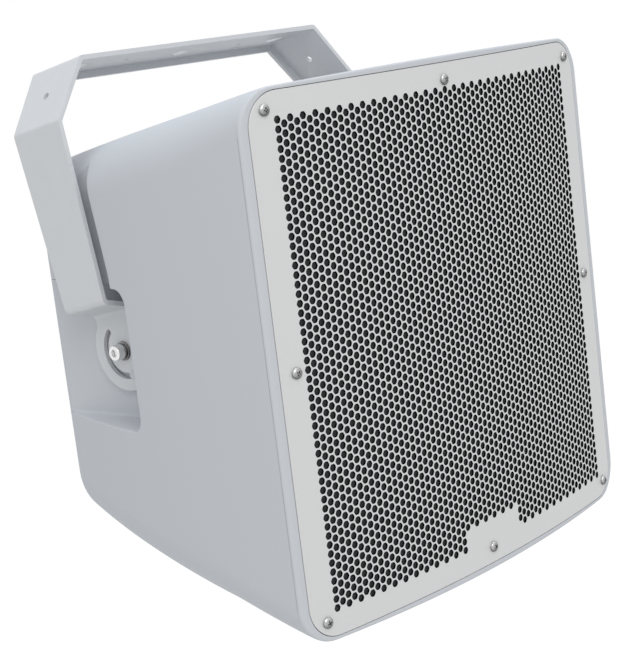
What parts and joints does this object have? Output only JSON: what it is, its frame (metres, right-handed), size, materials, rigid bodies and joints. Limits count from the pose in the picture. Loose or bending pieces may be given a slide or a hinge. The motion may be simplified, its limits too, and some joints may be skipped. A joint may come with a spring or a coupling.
{
  "type": "loudspeaker",
  "caption": "Weatherproof loudspeaker: tapered moulded cabinet with a bowed perforated steel front, tilting in a bent sheet-steel yoke.",
  "frame": {"origin": "centre of the middle hole in the yoke's bar, on its outer mounting face", "axes": "+X along the bar, to the right when facing the grille; +Y from the front to the rear; +Z out of the bar's mounting face, up when hung from a ceiling"},
  "size_m": [0.431, 0.4156, 0.4893],
  "materials": {
    "painted_steel": "light grey powder coat, satin",
    "cabinet_plastic": "light grey moulded plastic, satin",
    "grille_paint": "light grey powder coat, satin",
    "bright_steel": "bright stainless steel",
    "plain_steel": "zinc plated",
    "laminated_iron": "varnished laminations",
    "ferrite": "dull dark ferrite",
    "brass": "plain brass",
    "copper_wire": "enamelled copper wire",
    "nylon": "natural nylon",
    "black_rubber": "matt black",
    "black_foam": "open black acoustic foam",
    "grey_foam": "grey acoustic foam",
    "plywood": "dark stained plywood",
    "cast_frame": "black painted casting",
    "paper_cone": "pressed black paper",
    "spider_cloth": "resin dipped cloth",
    "black_plastic": "black moulded plastic",
    "grey_plate": "grey powder coat",
    "foil": "thin formed metal",
    "circuit_board": "green lacquered board",
    "capacitor_film": "blue film sleeve",
    "ceramic": "white ceramic",
    "green_plastic": "green moulded plastic",
    "red_insulation": "red insulated wire"
  },
  "bodies": {
    "yoke": {"yoke": "painted_steel", "pivot_bushes": "nylon"},
    "cabinet": {"cabinet_shell": "cabinet_plastic", "pivot_screws": "bright_steel", "pivot_washers": "bright_steel", "spring_washers": "bright_steel", "friction_discs": "black_rubber", "pivot_plates": "plain_steel", "lock_inserts": "brass", "grille": "grille_paint", "grille_backing": "black_foam", "grille_seal": "black_rubber", "grille_screws": "bright_steel", "grille_inserts": "brass", "baffle": "plywood", "baffle_seal": "black_rubber", "baffle_screws": "plain_steel", "woofer_basket": "cast_frame", "woofer_gasket": "black_rubber", "woofer_screws": "plain_steel", "surround": "black_rubber", "spider": "spider_cloth", "front_plate": "plain_steel", "magnet_ring": "ferrite", "back_plate": "plain_steel", "horn": "black_plastic", "driver_adapter": "plain_steel", "driver_body": "ferrite", "diaphragm": "foil", "driver_cap": "black_plastic", "driver_screws": "plain_steel", "crossover_board": "circuit_board", "board_standoffs": "nylon", "filter_coils": "copper_wire", "filter_capacitors": "capacitor_film", "filter_resistors": "ceramic", "transformer_core": "laminated_iron", "transformer_winding": "copper_wire", "transformer_bracket": "plain_steel", "input_plate": "grey_plate", "input_seal": "black_rubber", "input_screws": "plain_steel", "terminal_block": "green_plastic", "gland_bodies": "black_plastic", "gland_nuts": "black_plastic", "gland_seals": "black_rubber", "damping_foam": "grey_foam", "inner_wires": "red_insulation"},
    "moving_cone": {"cone": "paper_cone", "coil_former": "nylon", "coil_winding": "copper_wire"}
  },
  "joints": [
    {"name": "cabinet_tilt", "type": "hinge", "parent": "yoke", "child": "cabinet", "pos_m": [0, 0, -0.2404], "axis": [1, 0, 0], "range_deg": [-2, 80]},
    {"name": "cone_travel", "type": "slide", "parent": "cabinet", "child": "moving_cone", "axis": [0, 0.9829, 0.184], "range_m": [-0.005, 0.005], "stiffness_N_per_m": 3500, "deforming": ["surround", "spider"]}
  ]
}
